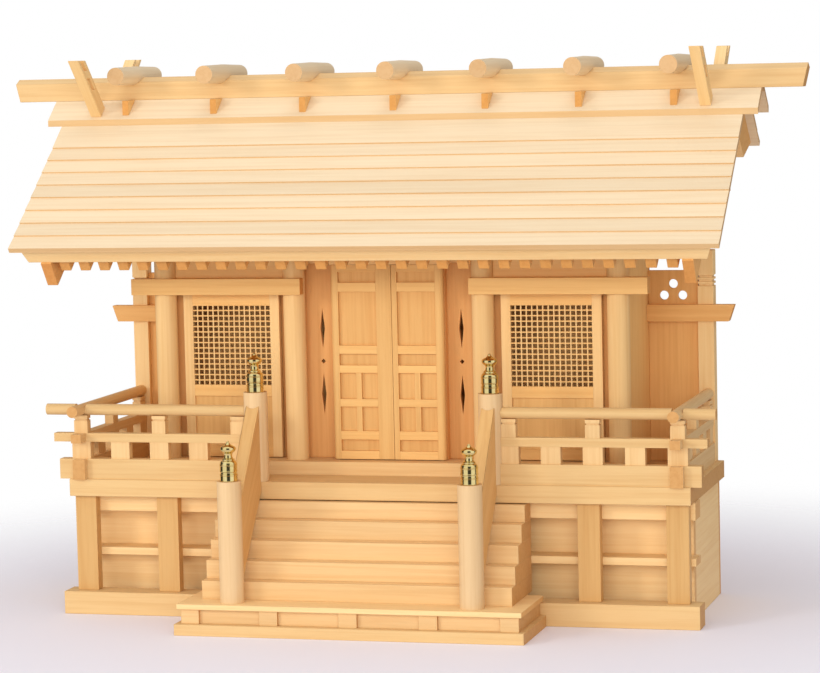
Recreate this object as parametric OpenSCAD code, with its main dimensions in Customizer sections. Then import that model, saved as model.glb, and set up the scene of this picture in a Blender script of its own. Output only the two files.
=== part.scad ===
// Household shrine of plain cypress wood with three bays, one through roof,
// a railed veranda, front stairs on a platform, and brass finials.
// X runs to the right, Y to the back, Z up. Millimetres.
// Inside the modules Y is measured from the row of front columns.

/* [Base] */
// How far the base box stands in from the deck ends
base_in = 4.5; // [2.5:0.5:12]
// Thickness of the side boards of the base
base_side_t = 10; // [6:0.5:14]
// Thickness of the front panel of the base
base_panel_t = 8; // [4:0.5:12]
// Thickness of the back board of the base
base_back_t = 6; // [4:0.5:12]
// Distance from the post fronts back to the front panel
panel_setback = 33; // [26:1:40]
// How far the front plinth runs past the deck ends
plinth_over = 7; // [0:0.5:14]
// Height of the front plinth
plinth_h = 20; // [14:1:26]
// Depth of the front plinth
plinth_d = 24; // [20:1:28]
// How far the plinth stands in front of the posts
plinth_proud = 9; // [4:0.5:12]
// Width of a base post
post_w = 19; // [14:0.5:24]
// Thickness of a base post
post_d = 10; // [6:0.5:13]
// How far the corner posts stand in from the deck ends
post_in = 3; // [1:0.5:10]
// Distance of the inner posts from the middle
inner_post_x = 187; // [170:1:200]
// How far the two base rails run past the deck ends
base_rail_over = 1; // [0:0.5:4]
// Height of the upper base rail
top_rail_h = 15; // [8:0.5:18]
// Height of the middle base rail
mid_rail_h = 6.6; // [4:0.2:12]
// Height of the middle base rail above the ground
mid_rail_z = 50.2; // [40:0.1:65]

/* [Deck] */
// Width of the veranda deck
deck_w = 550; // [548:1:560]
// Thickness of the deck
deck_t = 15; // [10:0.5:20]
// Height of the deck underside
deck_z = 104; // [95:1:115]
// Distance from the front columns to the deck edge
deck_reach = 60; // [56:1:75]
// Distance from the front columns to the rear face
body_depth = 113; // [105:1:130]
// How far the base posts stand behind the deck edge
post_inset = 6; // [3:0.5:10]

/* [Platform and stairs] */
// Width of the platform plinth
platform_w = 302; // [290:1:320]
// Distance from the front columns to the platform front
platform_reach = 147; // [140:1:160]
// Height of the platform plinth
platform_plinth_h = 9.5; // [6:0.5:14]
// Height of the platform body
platform_body_h = 12.5; // [8:0.5:18]
// Thickness of the platform top
platform_top_t = 4.5; // [3:0.5:8]
// Overhang of the platform plinth past the body
platform_plinth_lip = 5; // [2:0.5:8]
// Overhang of the platform top past the body
platform_top_lip = 3; // [1:0.5:6]
// Width of a pilaster on the platform front
pilaster_w = 16; // [10:0.5:22]
// Depth of the panels between the pilasters
pilaster_recess = 3; // [1:0.5:5]
// Number of pilasters
pilaster_n = 5; // [3:1:7]
// Width of the stairs
stair_w = 270; // [250:1:286]
// Depth of one tread
tread_run = 13; // [11:0.5:14]
// How far the top step stands in front of the deck edge
top_step_proud = 6; // [2:0.5:10]
// Thickness of the sloping stair boards
stair_board_t = 11.5; // [6:0.5:12]
// Upright height of the sloping stair boards
stair_board_h = 66; // [50:1:75]
// Extra height of the stair boards at the upper newels
stair_board_rise = 10.7; // [0:0.1:13]

/* [Newels and railing] */
// Distance of the newels from the middle
newel_x = 104; // [98:0.5:110]
// Newel diameter
newel_dia = 20.6; // [16:0.2:22]
// Height of the upper newels above the deck
upper_newel_h = 77; // [68:1:90]
// Height of the lower newels above the platform
lower_newel_h = 103; // [95:1:115]
// Distance from the columns to the lower newels
lower_newel_reach = 130; // [128:0.5:133]
// Height of a brass finial
finial_h = 32.5; // [30:0.5:36]
// Radius of the sleeve of a finial
sleeve_r = 6.9; // [6:0.1:8]
// Height of the sleeve
sleeve_h = 14.5; // [14:0.1:16]
// Height of the bands round a sleeve
band_h = 1.2; // [0.8:0.1:1.6]
// How far the bands stand out
band_out = 0.3; // [0.2:0.1:0.6]
// Spacing of the bands
band_pitch = 6; // [5:0.1:6.3]
// Height of the rounded shoulder above the sleeve
shoulder_h = 2.8; // [2:0.1:3]
// Radius at the top of the shoulder
shoulder_r = 4.8; // [4:0.1:5.5]
// Height of the collar under the neck
collar_h = 2.3; // [1.6:0.1:2.6]
// Radius of the neck
neck_r = 2.7; // [2:0.1:3.4]
// Height of the neck
neck_h = 3.2; // [2:0.1:3.4]
// Widest radius of the bulb
bulb_r = 5.6; // [5:0.1:6.5]
// Height of the bulb below its widest place
bulb_low_h = 3.8; // [3:0.1:4]
// Distance of the front rails behind the deck edge
rail_inset = 7.5; // [5.5:0.5:10]
// Distance of the side rails inside the deck ends
side_rail_inset = 11; // [9:0.5:14]
// Height of the ground rail
ground_rail_h = 17.6; // [12:0.2:22]
// Depth of the ground rail
ground_rail_d = 11; // [8:0.5:11]
// Height of the lower blocks
block_h = 15; // [10:0.5:20]
// Width of the lower blocks
block_w = 17; // [12:0.5:20]
// Depth of the blocks and struts
block_d = 8; // [6:0.5:9]
// Height of the middle rail
flat_rail_h = 7.5; // [5:0.5:10]
// Depth of the middle rail
flat_rail_d = 9; // [8:0.5:11]
// Height of the upper struts
strut_h = 15.6; // [10:0.2:20]
// Width of the upper struts
strut_w = 12.4; // [8:0.2:16]
// Wood above the groove round an upper strut
strut_cap_h = 3; // [2:0.2:5]
// Height of that groove
strut_groove_h = 1.4; // [0.8:0.2:2.4]
// Depth of that groove
strut_groove_d = 0.8; // [0.4:0.1:1.4]
// Diameter of the top rail
top_rail_dia = 9.8; // [8:0.2:12]
// Spacing of the front blocks, made even between the corner and the newel
block_pitch = 36; // [28:0.5:44]
// Distance of the innermost block from the newel axis
newel_block_gap = 16; // [15:0.5:20]
// How far the ground rails run past the corner crossing
ground_rail_over = 20; // [12:1:24]
// How far the middle rails run past the corner crossing
flat_rail_over = 25; // [14:1:28]
// How far the top rails run past the corner crossing
top_rail_over = 32; // [16:1:36]
// How much less the side rails run past the corner
side_over_less = 8; // [2:1:11]

/* [Body] */
// Distance of the outer columns from the deck ends
outer_column_in = 71.3; // [63:0.1:80]
// Distance of the inner columns from the middle
inner_column_x = 84.9; // [78:0.5:90]
// Column diameter
column_dia = 19.4; // [16:0.2:22]
// Column line behind the front of the door frame
column_y = 5.5; // [2:0.5:8]
// Height of the floor board on the deck
floor_t = 4; // [2:0.5:6]
// Height of the ground sill
sill_h = 11.5; // [7:0.5:14]
// How far the sill stands in front of the column axes
sill_proud = 13; // [11:0.5:18]
// Depth of the sill
sill_d = 34; // [33:0.5:40]
// How far the sill runs past the outer columns
sill_past = 2; // [1:0.5:6]
// Height of the tie beams above the deck
tie_z = 156.9; // [150:0.1:162]
// Height of the tie beams
tie_h = 14.3; // [10:0.1:18]
// How far the tie beams stand in front of the column axes
tie_proud = 13; // [11:0.5:16]
// How far the tie beams run past the outer columns
tie_past = 27.8; // [16:0.1:40]
// Distance of the inner ends of the tie beams from the middle
tie_in_x = 75.5; // [74:0.5:80]
// Thickness of the body walls
wall_t = 6; // [4:0.5:9]
// Outer side wall faces beyond the axes of the outer columns
side_wall_out = 7.3; // [5:0.1:9]
// Height of the eave purlin above the deck
purlin_z = 224; // [215:1:230]
// Depth of the purlins
purlin_d = 16; // [12:1:18]
// Height of the ridge purlin
ridge_purlin_h = 24; // [16:1:30]

/* [Doors] */
// Height of the centre doors
door_h = 169.5; // [160:0.5:172]
// Thickness of a centre door leaf
door_t = 7; // [6:0.5:8]
// Half of the doorway width
doorway_half = 50.6; // [46:0.2:54]
// Front of the leaves behind the column axes
door_setback = 1; // [0:0.5:2]
// Gap round a door leaf
door_gap = 0.8; // [0.5:0.1:1.5]
// Width of the hinge stile
hinge_stile = 7; // [6:0.5:9]
// Width of the meeting stile
meeting_stile = 9; // [6:0.5:11]
// Joint of the two leaves, to the right of the middle
meeting_x = 4.2; // [0:0.1:5]
// Width of the upright bar in a double panel
door_mullion = 5; // [3:0.5:7]
// Height of the top rail of a door leaf
door_top_rail = 5.7; // [3:0.2:8]
// Depth of the sunk door panels
door_recess = 3; // [1:0.2:4]
// Diameter of the pivot pins
pivot_dia = 2.8; // [2:0.1:3.4]
// Length of the pivot pins
pivot_len = 4; // [3:0.5:5]
// Running clearance round a pivot pin
pivot_clear = 0.05; // [0.02:0.01:0.1]
// Thickness of the boards beside the doors
side_board_t = 4; // [3:0.5:4.5]
// Front of those boards behind the column axes
side_board_setback = 16; // [12:0.5:16]
// Jamb width behind the hinge stile
jamb_w = 7; // [5:0.5:9]
// Room between the closed leaf and the jamb
jamb_clear = 0.6; // [0.4:0.1:1]
// Width of the diamond slits
slit_w = 4; // [2:0.2:6]
// Height of the upper diamond slits
slit_h = 34; // [26:1:38]
// Height of the middle diamonds above the deck
slit_z = 96.6; // [94:0.2:104]
// Distance from the middle diamonds to the slits above and below
slit_pitch = 29; // [27:0.5:31]
// Distance of the slits from the middle
slit_x = 62.8; // [60:0.1:64]
// Thickness of the lattice doors
lattice_t = 6; // [4:0.5:8]
// Lattice door face behind the column line
lattice_set = 2.5; // [0:0.5:4]
// Width of the lattice door stiles
lattice_stile = 14; // [12:0.5:18]
// Height of the lattice field
lattice_h = 70; // [60:1:74]
// Holes across and up the lattice field
lattice_n = 15; // [9:1:17]
// Width of the lattice bars
lattice_bar_w = 1.6; // [1.2:0.1:2]
// Depth of the lattice bars
lattice_bar_d = 3; // [2:0.1:3.2]
// Lattice bars behind the front of their door
lattice_bar_setback = 0.6; // [0.2:0.1:0.8]
// Height of the lattice door top rail
lattice_top_h = 10.7; // [7:0.1:12]
// Height of the lattice door middle rail
lattice_mid_h = 10; // [7:0.5:13]
// Depth of the sunk lower panels
lattice_recess = 1.5; // [0.5:0.1:2.5]

/* [Side screens] */
// How far the screen posts stand in from the deck ends
screen_post_in = 5.2; // [2:0.1:9]
// Side of a screen post
screen_post_w = 14; // [12:0.5:16]
// Height of the screen posts above the deck
screen_post_h = 187; // [180:1:200]
// Height of the lowest groove round a screen post above the deck
post_groove_z = 155.5; // [145:0.5:165]
// Spacing of the three grooves
post_groove_pitch = 3.7; // [3:0.1:5]
// Height of a groove
post_groove_h = 1.8; // [1:0.1:2.4]
// Depth of a groove
post_groove_d = 1.2; // [0.6:0.1:2]
// Thickness of the screen panels
screen_t = 4; // [3:0.5:6]
// Height of the screen panels above the deck
screen_h = 169; // [160:1:175]
// Height of the screen beams above the deck
screen_beam_z = 124.6; // [115:0.5:135]
// Height of the screen beams
screen_beam_h = 14.7; // [10:0.1:18]
// Depth of the screen beams
screen_beam_d = 9; // [7:0.5:10]
// How far the screen beams run past their posts
screen_beam_over = 19; // [11:1:25]
// Slant of the screen beam ends
screen_beam_slant = 5; // [2:0.5:8]
// Diameter of the round holes in the screens
screen_hole_dia = 8; // [5:0.5:10]
// Spacing of the two lower round holes
screen_hole_pitch = 16.4; // [14:0.2:19]
// Rise of the upper round hole above the lower two
screen_hole_rise = 10.2; // [10:0.2:12]
// Height of the lower round holes above the deck
screen_hole_z = 147; // [146:0.5:149]

/* [Roof] */
// Roof pitch in degrees
roof_pitch = 37; // [35:0.5:38]
// Width of the roof boards
roof_w = 616; // [606:1:630]
// Distance from the columns to the front eave
eave_reach = 101; // [92:1:108]
// Height of the front eave
eave_z = 324; // [322:0.5:330]
// Distance from the columns back to the ridge
ridge_y = 64; // [60:1:68]
// Level distance from the ridge to the rear eave
rear_run = 65; // [60:1:70]
// Thickness of the roof boards
roof_t = 5; // [4:0.2:7]
// Visible width of one row of roof boards
row_run = 17.2; // [15:0.2:19]
// Number of visible rows at the front
front_rows = 9; // [7:1:9]
// Number of visible rows at the rear
rear_rows = 2; // [1:1:2]
// Height of the step between two rows
row_step = 1.2; // [0.6:0.1:1.8]
// Thickness of the under roof
under_t = 15.5; // [12:0.5:18]
// Width of the under roof at its top
under_w = 602; // [590:1:606]
// Slant of the under roof ends
under_slant = 5; // [2:0.5:8]
// Setback of the under roof behind the eave
under_setback = 5; // [3:0.5:8]
// Depth of a rafter
rafter_h = 13; // [10:0.5:15]
// Width of a rafter
rafter_w = 9; // [7:0.5:10]
// Spacing of the rafters
rafter_pitch = 17.7; // [16:0.1:19]
// Rafters on each side of the middle one
rafter_side_n = 15; // [12:1:15]
// Setback of the rafter ends behind the eave
rafter_setback = 9; // [7:0.5:14]
// Outer face of the bargeboards from the middle
barge_x = 284.5; // [280:0.5:289]
// Thickness of the bargeboards
barge_t = 9.5; // [7:0.5:9.5]
// Width of the bargeboards
barge_h = 25; // [22:1:34]
// Setback of the front bargeboard ends behind the eave
barge_setback = 3.5; // [2:0.5:6]
// Distance of the rear bargeboard ends from the ridge
barge_rear = 46; // [42:1:50]

/* [Ridge] */
// Length of the ridge beam
ridge_len = 720; // [690:1:740]
// Depth of the ridge beam
ridge_d = 18; // [14:0.5:22]
// Height of the ridge beam
ridge_h = 16; // [12:0.5:20]
// Gap in the plumb joint where front and rear slopes meet
ridge_gap = 0.4; // [0.2:0.1:1]
// Rise of the gabled top of the ridge beam
ridge_rise = 4.5; // [2:0.5:6]
// Undercut of the ridge beam ends
ridge_slant = 3.7; // [1:0.1:6]
// Width of the ridge cover
cover_w = 642; // [630:1:660]
// Half depth of the ridge cover
cover_half = 31; // [31:0.5:36]
// Upright thickness of the ridge cover
cover_t = 5.6; // [4:0.2:8]
// Thickness of the ridge cover under the ridge beam
cover_crown = 3.5; // [2:0.5:5]
// Width of the wedge blocks under the ridge beam
wedge_w = 6; // [4:0.5:9]
// Depth of the wedge blocks in front of the ridge beam
wedge_d = 18; // [10:0.5:22]
// Spacing of the ridge logs
log_pitch = 82.7; // [78:0.1:84]
// Ridge logs on each side of the middle one
log_side_n = 3; // [1:1:3]
// Length of the ridge logs
log_len = 100; // [84:1:110]
// Diameter of a ridge log at its middle
log_dia = 17.2; // [14:0.2:19]
// Diameter of a ridge log at its ends
log_end_dia = 15.6; // [13:0.2:17]
// Height of the log axes above the ridge beam underside
log_z = 21.7; // [20:0.1:24]
// Inner face of the crossed horns from the middle
horn_x = 271; // [262:0.5:276]
// Thickness of the horns
horn_t = 9.5; // [7:0.5:12]
// Lean of the horns from the level in degrees
horn_angle = 43.6; // [40:0.2:48]
// Level width of the horns
horn_w = 18.5; // [14:0.5:22]
// Distance of the horn feet from the ridge
horn_foot = 28; // [24:0.5:31]
// Height of the horn tops above the eave
horn_top = 159.5; // [150:0.5:166]
// Level width of the slots in the horns
horn_slot_w = 8; // [4:0.2:10]
// Depth of the open slot at the horn tops
horn_notch_h = 9; // [6:0.5:12]
// Height of the closed slot
horn_slot_h = 10; // [6:0.5:12]
// Wood between the two slots of a horn
horn_web_h = 7; // [5:0.5:9]

/* [Hidden] */
$fn = 48;

hinoki = [0.93, 0.76, 0.53];
hinoki_pale = [0.97, 0.86, 0.68];
hinoki_dark = [0.82, 0.62, 0.38];
brass = [0.83, 0.62, 0.22];

// Small clearance between a scribed piece and the round post it meets
scribe = 0.1;
// Overshoot of a cut past the face that it opens
cut = 1;

// Base levels and planes
deck_top = deck_z + deck_t;
base_w = deck_w - 2 * base_in;
plinth_w = deck_w + 2 * plinth_over;
base_rail_w = deck_w + 2 * base_rail_over;
corner_post_x = deck_w / 2 - post_in - post_w / 2;
deck_front = -deck_reach;
post_front = deck_front + post_inset;
plinth_front = post_front - plinth_proud;
rail_face = post_front + post_d;
panel_front = post_front + panel_setback;
panel_back = panel_front + base_panel_t;
base_back_front = body_depth - base_back_t;

// Platform and stair levels
platform_front = -platform_reach;
body_w = platform_w - 2 * platform_plinth_lip;
platform_body_front = platform_front + platform_plinth_lip;
body_top = platform_plinth_h + platform_body_h;
platform_z = body_top + platform_top_t;
pilaster_gap = (body_w - pilaster_w) / (pilaster_n - 1);
step_n = 5;
riser = (deck_z - platform_z) / step_n;
first_step_front = deck_front - top_step_proud - (step_n - 1) * tread_run;

// Railing lines and levels
rail_x = deck_w / 2 - side_rail_inset;
rail_y = deck_front + rail_inset;
flat_rail_z = deck_top + ground_rail_h + block_h;
strut_z = flat_rail_z + flat_rail_h;
top_rail_z = strut_z + strut_h + top_rail_dia / 2;
newel_r = newel_dia / 2;
screen_post_front = body_depth - screen_post_w;
front_span = rail_x - newel_x - newel_block_gap;
front_block_n = 1 + round(front_span / block_pitch);
front_pitch = front_span / (front_block_n - 1);
side_block_n = 5;
side_pitch = (screen_post_front - block_w / 2 - rail_y) / (side_block_n - 1);

// Body planes and levels
column_r = column_dia / 2;
outer_column_x = deck_w / 2 - outer_column_in;
side_wall_x = outer_column_x + side_wall_out;
tie_out_x = outer_column_x + tie_past;
screen_post_x = deck_w / 2 - screen_post_in;
screen_beam_x = screen_post_x + screen_beam_over;
sill_z = deck_top;
sill_top = sill_z + sill_h;
door_z = sill_top + door_gap;
head_z = door_z + door_h + door_gap;
tie_bottom = deck_top + tie_z;
tie_top = tie_bottom + tie_h;
purlin_bottom = deck_top + purlin_z;
back_wall_front = body_depth - wall_t;
lattice_front = column_y + lattice_set;
side_board_back = side_board_setback + side_board_t;
hinge_y = door_setback + door_t / 2;
hinge_x = doorway_half - door_t / 2;
leaf_w = hinge_x - door_gap / 2;
// Sunk panels of a leaf from the foot up: rail below, panel height, panels side by side
// The tall row has height 0 here and takes what the others leave
door_rows = [[7.2, 10, 1], [7.5, 21.4, 2], [6.7, 22.9, 2], [6.6, 10.1, 1], [7.3, 0, 1], [8, 9.2, 1]];
function total(v, i = 0) = i == len(v) ? 0 : v[i] + total(v, i + 1);
tall_panel_h = door_h - door_top_rail - total([for (r = door_rows) r[0] + r[1]]);
function row_h(i) = door_rows[i][1] == 0 ? tall_panel_h : door_rows[i][1];
function row_z(i) = i == 0 ? door_rows[0][0] : row_z(i - 1) + row_h(i - 1) + door_rows[i][0];

// Roof in slope terms: distance down from the ridge and depth below the surface
apex_z = eave_z + (ridge_y + eave_reach) * tan(roof_pitch);
front_len = (ridge_y + eave_reach) / cos(roof_pitch);
rear_len = rear_run / cos(roof_pitch);
under_bottom = roof_t + under_t;
rafter_bottom = under_bottom + rafter_h;
barge_bottom = under_bottom + barge_h;
barge_in_x = barge_x - barge_t;

// Ridge levels
cover_top = apex_z + cover_t - ridge_d / 2 * tan(roof_pitch);
trim_z = cover_top - cover_crown;
trim_y = (apex_z - trim_z) / tan(roof_pitch);
ridge_top = cover_top + ridge_h;
horn_top_z = eave_z + horn_top;
horn_rise = 1 / tan(horn_angle);

// Point of the front slope, seen along X
function slope_pt(s, n) = [
  ridge_y - s * cos(roof_pitch) + n * sin(roof_pitch),
  apex_z - s * sin(roof_pitch) - n * cos(roof_pitch)
];
// Height of a layer below the roof surface at one Y
function layer_z(y, n) = apex_z - abs(y - ridge_y) * tan(roof_pitch) - n / cos(roof_pitch);
// The same points on the rear slope
function rear(points) = [for (p = points) [2 * ridge_y - p[0], p[1]]];
// Distance down the slope where a layer meets the plumb ridge joint
function ridge_s(n) = n * tan(roof_pitch) + ridge_gap / 2 / cos(roof_pitch);
// Board between two layers, cut plumb at the ridge and square at the eave
function band(s1, n0, n1) = [
  slope_pt(ridge_s(n0), n0), slope_pt(s1, n0), slope_pt(s1, n1), slope_pt(ridge_s(n1), n1)
];
// Lapped rows of roof boards down to the eave at s1
function lapped(s1, rows) = concat(
  [[ridge_y, trim_z], slope_pt((apex_z - trim_z) / sin(roof_pitch), 0),
    slope_pt(s1 - (rows - 1) * row_run, 0)],
  [for (i = [rows - 2:-1:0]) each [
    slope_pt(s1 - (i + 1) * row_run, row_step), slope_pt(s1 - i * row_run, 0)
  ]],
  [slope_pt(s1, roof_t), slope_pt(roof_t * tan(roof_pitch), roof_t)]
);

// Puts Y so that the whole object is centred over the origin
horn_rear = 2 * ridge_y - (ridge_y - horn_foot - (horn_top_z - horn_foot_z()) * horn_rise);
function horn_foot_z() = layer_z(ridge_y - horn_foot, 0) + cover_t;
mid_y = (horn_rear + platform_front) / 2;
module placed(colour) {
  color(colour) translate([0, -mid_y, 0]) children();
}

module both_sides() {
  children();
  mirror([1, 0, 0]) children();
}

module along_x(x0, x1) {
  translate([x0, 0, 0]) rotate([90, 0, 90]) linear_extrude(x1 - x0) children();
}

module along_y(y0, y1) {
  translate([0, y1, 0]) rotate([90, 0, 0]) linear_extrude(y1 - y0) children();
}

module block(x0, x1, y0, y1, z0, z1) {
  translate([x0, y0, z0]) cube([x1 - x0, y1 - y0, z1 - z0]);
}

module round_post(x, y, r, z0, z1) {
  translate([x, y, z0]) cylinder(r = r, h = z1 - z0);
}

// Coordinates on the front slope: x, distance down from the ridge, depth below the surface
module on_front_slope() {
  translate([0, ridge_y, apex_z]) rotate([180 + roof_pitch, 0, 0]) children();
}

module on_rear_slope() {
  translate([0, 2 * ridge_y, 0]) mirror([0, 1, 0]) on_front_slope() children();
}

module column_cuts(z0 = sill_top, z1 = apex_z) {
  both_sides() for (x = [inner_column_x, outer_column_x])
    round_post(x, column_y, column_r + scribe, z0, z1);
}

module upper_newel_cuts() {
  both_sides() round_post(newel_x, rail_y, newel_r + scribe, deck_top, eave_z);
}

module base_plinth() {
  placed(hinoki) block(-plinth_w / 2, plinth_w / 2, plinth_front, plinth_front + plinth_d, 0, plinth_h);
}

module base_front_panel() {
  placed(hinoki_dark) block(-base_w / 2, base_w / 2, panel_front, panel_back, 0, deck_z);
}

module base_sides() {
  placed(hinoki) both_sides()
    block(base_w / 2 - base_side_t, base_w / 2, panel_back, base_back_front, 0, deck_z);
}

module base_back() {
  placed(hinoki) block(-base_w / 2, base_w / 2, base_back_front, body_depth, 0, deck_z);
}

module base_rails() {
  placed(hinoki) {
    block(-base_rail_w / 2, base_rail_w / 2, rail_face, panel_front, deck_z - top_rail_h, deck_z);
    block(-base_rail_w / 2, base_rail_w / 2, rail_face, panel_front, mid_rail_z, mid_rail_z + mid_rail_h);
  }
}

module base_posts() {
  placed(hinoki) both_sides() for (x = [inner_post_x, corner_post_x])
    block(x - post_w / 2, x + post_w / 2, post_front, rail_face, plinth_h, deck_z);
}

module deck() {
  placed(hinoki) block(-deck_w / 2, deck_w / 2, deck_front, body_depth, deck_z, deck_top);
}

module platform_plinth() {
  placed(hinoki)
    block(-platform_w / 2, platform_w / 2, platform_front, plinth_front, 0, platform_plinth_h);
}

module platform_body() {
  placed(hinoki) difference() {
    block(-body_w / 2, body_w / 2, platform_body_front, plinth_front, platform_plinth_h, body_top);
    for (i = [0:pilaster_n - 2]) {
      x0 = -body_w / 2 + pilaster_w + i * pilaster_gap;
      block(x0, x0 + pilaster_gap - pilaster_w, platform_body_front - cut,
        platform_body_front + pilaster_recess, platform_plinth_h - cut, body_top + cut);
    }
  }
}

module platform_top() {
  placed(hinoki_pale) block(-body_w / 2 - platform_top_lip, body_w / 2 + platform_top_lip,
    platform_body_front - platform_top_lip, plinth_front, body_top, platform_z);
}

module step(k) {
  placed(hinoki) block(-stair_w / 2, stair_w / 2, first_step_front + (k - 1) * tread_run, rail_face,
    platform_z + (k - 1) * riser, platform_z + k * riser);
}

// Sloping side boards of the stairs, seated on the step edges between the newels
module stair_boards() {
  slope = riser / tread_run;
  function edge_z(y) = platform_z + riser + (y - first_step_front) * slope;
  y0 = -lower_newel_reach;
  y1 = rail_y;
  placed(hinoki) difference() {
    both_sides() along_x(newel_x - stair_board_t / 2, newel_x + stair_board_t / 2)
      polygon([
        [y0, max(platform_z, edge_z(y0))], [first_step_front, platform_z],
        [first_step_front, platform_z + riser], [deck_front, edge_z(deck_front)],
        [deck_front, deck_top], [y1, deck_top],
        [y1, edge_z(y1) + stair_board_h + stair_board_rise], [y0, edge_z(y0) + stair_board_h]
      ]);
    upper_newel_cuts();
    both_sides() round_post(newel_x, -lower_newel_reach, newel_r + scribe, 0, eave_z);
  }
}

module newels() {
  placed(hinoki) both_sides() {
    round_post(newel_x, rail_y, newel_r, deck_top, deck_top + upper_newel_h);
    round_post(newel_x, -lower_newel_reach, newel_r, platform_z, platform_z + lower_newel_h);
  }
}

// Onion finial from the foot up: banded sleeve, shoulder, collar, neck, bulb and pointed tip
module finial_profile() {
  collar_z = sleeve_h + shoulder_h;
  neck_z = collar_z + collar_h;
  bulb_z = neck_z + neck_h;
  wide_z = bulb_z + bulb_low_h;
  tip_h = finial_h - wide_z;
  band_r = sleeve_r + band_out;
  polygon(concat(
    [[0, 0]],
    [for (i = [0:2]) each [
      [band_r, i * band_pitch], [band_r, i * band_pitch + band_h],
      [sleeve_r, i * band_pitch + band_h + band_out],
      [sleeve_r, i < 2 ? (i + 1) * band_pitch - band_out : sleeve_h]
    ]],
    [for (a = [18:18:90]) [shoulder_r + (sleeve_r - shoulder_r) * cos(a), sleeve_h + shoulder_h * sin(a)]],
    [for (a = [18:18:90]) [neck_r + (shoulder_r - neck_r) * cos(a), collar_z + collar_h * sin(a)]],
    [for (a = [0:15:90]) [neck_r + (bulb_r - neck_r) * sin(a), wide_z - bulb_low_h * cos(a)]],
    [for (t = [0.125:0.125:1]) [bulb_r * (1 + cos(180 * t)) / 2, wide_z + tip_h * t]]
  ));
}

module finials() {
  placed(brass) both_sides() {
    translate([newel_x, rail_y, deck_top + upper_newel_h]) rotate_extrude() finial_profile();
    translate([newel_x, -lower_newel_reach, platform_z + lower_newel_h]) rotate_extrude() finial_profile();
  }
}

// Front half of each corner crossing: the front rails lie below, the side rails above
module corner_lap(d, z0, z1) {
  both_sides() block(rail_x - d / 2, rail_x + d / 2, rail_y - d / 2, rail_y + d / 2, z0, z1);
}

module front_rails() {
  placed(hinoki) {
    difference() {
      both_sides() {
        block(newel_x, rail_x + ground_rail_over, rail_y - ground_rail_d / 2, rail_y + ground_rail_d / 2,
          deck_top, deck_top + ground_rail_h);
        block(newel_x, rail_x + flat_rail_over, rail_y - flat_rail_d / 2, rail_y + flat_rail_d / 2,
          flat_rail_z, flat_rail_z + flat_rail_h);
        translate([newel_x, rail_y, top_rail_z]) rotate([0, 90, 0])
          cylinder(d = top_rail_dia, h = rail_x + top_rail_over - newel_x);
      }
      upper_newel_cuts();
      corner_lap(ground_rail_d, deck_top + ground_rail_h / 2, flat_rail_z - cut);
      corner_lap(flat_rail_d, flat_rail_z + flat_rail_h / 2, strut_z + cut);
      corner_lap(top_rail_dia, top_rail_z, top_rail_z + top_rail_dia);
    }
  }
}

module side_rails() {
  placed(hinoki) difference() {
    both_sides() {
      block(rail_x - ground_rail_d / 2, rail_x + ground_rail_d / 2,
        rail_y - ground_rail_over + side_over_less, screen_post_front, deck_top, deck_top + ground_rail_h);
      block(rail_x - flat_rail_d / 2, rail_x + flat_rail_d / 2,
        rail_y - flat_rail_over + side_over_less, screen_post_front, flat_rail_z, flat_rail_z + flat_rail_h);
      translate([rail_x, screen_post_front, top_rail_z]) rotate([90, 0, 0])
        cylinder(d = top_rail_dia, h = screen_post_front - rail_y + top_rail_over - side_over_less);
    }
    corner_lap(ground_rail_d, deck_top - cut, deck_top + ground_rail_h / 2);
    corner_lap(flat_rail_d, flat_rail_z - cut, flat_rail_z + flat_rail_h / 2);
    corner_lap(top_rail_dia, top_rail_z - top_rail_dia, top_rail_z);
  }
}

// Block of a given width and height under a rail, centred on X and Y
module rail_block(w, h) {
  translate([-w / 2, -block_d / 2, 0]) cube([w, block_d, h]);
}

// Slim strut with a groove under its cap
module strut() {
  groove_z = strut_h - strut_cap_h - strut_groove_h;
  rail_block(strut_w, groove_z);
  translate([0, 0, strut_h - strut_cap_h]) rail_block(strut_w, strut_cap_h);
  translate([strut_groove_d - strut_w / 2, strut_groove_d - block_d / 2, 0])
    cube([strut_w - 2 * strut_groove_d, block_d - 2 * strut_groove_d, strut_h]);
}

// Blocks under the middle rail, and over every second one a strut under the top rail
module block_and_strut(i) {
  translate([0, 0, deck_top + ground_rail_h]) rail_block(block_w, block_h);
  if (i % 2 == 0) translate([0, 0, strut_z]) strut();
}

module rail_struts() {
  placed(hinoki) difference() {
    both_sides() {
      for (i = [0:front_block_n - 1])
        translate([rail_x - i * front_pitch, rail_y, 0]) block_and_strut(i);
      for (i = [1:side_block_n - 1])
        translate([rail_x, rail_y + i * side_pitch, 0]) rotate([0, 0, 90]) block_and_strut(i);
    }
    upper_newel_cuts();
  }
}

module body_floor() {
  placed(hinoki) block(wall_t - side_wall_x, side_wall_x - wall_t, sill_d - sill_proud, back_wall_front,
    deck_top, deck_top + floor_t);
}

module pivot_bores(z0, z1) {
  both_sides() round_post(hinge_x, hinge_y, pivot_dia / 2 + pivot_clear, z0, z1);
}

module sill() {
  half = outer_column_x + column_r + sill_past;
  placed(hinoki) difference() {
    block(-half, half, -sill_proud, sill_d - sill_proud, sill_z, sill_top);
    pivot_bores(door_z - pivot_len - pivot_clear, sill_top + cut);
  }
}

module columns() {
  placed(hinoki) both_sides() for (x = [inner_column_x, outer_column_x])
    round_post(x, column_y, column_r, sill_top, purlin_bottom);
}

module tie_beams() {
  placed(hinoki) difference() {
    both_sides() block(tie_in_x, tie_out_x, column_y - tie_proud, column_y, tie_bottom, tie_top);
    column_cuts();
  }
}

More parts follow.
